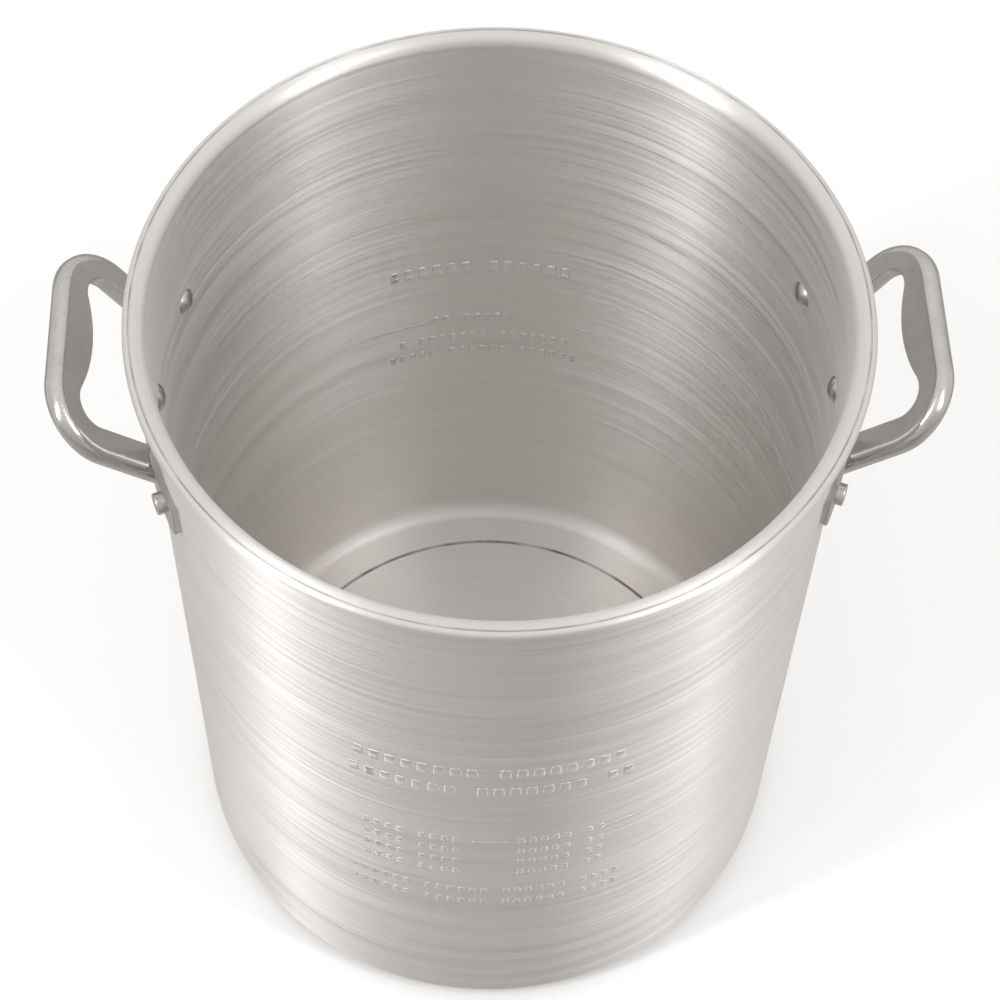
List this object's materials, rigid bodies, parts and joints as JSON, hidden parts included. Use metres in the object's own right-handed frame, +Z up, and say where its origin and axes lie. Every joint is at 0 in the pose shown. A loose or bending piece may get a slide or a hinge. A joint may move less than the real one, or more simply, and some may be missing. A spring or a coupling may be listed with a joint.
{
  "type": "brew kettle",
  "caption": "Tall open-topped aluminium kettle with a flared rim, a flat floor and riveted cast loop handles angled upward.",
  "frame": {"origin": "centre of the base, on the surface that the kettle stands on", "axes": "+Z up along the kettle's axis, +X through the middle of the right handle, -Y the front, which carries the embossed marks"},
  "size_m": [0.3856, 0.3198, 0.403],
  "materials": {
    "spun_aluminium": "satin, lathe-turned in fine circles, light wear",
    "cast_aluminium": "polished casting with small pits and soft edges",
    "rivet_aluminium": "headed and lightly polished"
  },
  "bodies": {
    "root": {"kettle_shell": "spun_aluminium", "handle_right": "cast_aluminium", "handle_left": "cast_aluminium", "rivet_right_front": "rivet_aluminium", "rivet_right_middle": "rivet_aluminium", "rivet_right_back": "rivet_aluminium", "rivet_left_front": "rivet_aluminium", "rivet_left_middle": "rivet_aluminium", "rivet_left_back": "rivet_aluminium"}
  },
  "joints": []
}
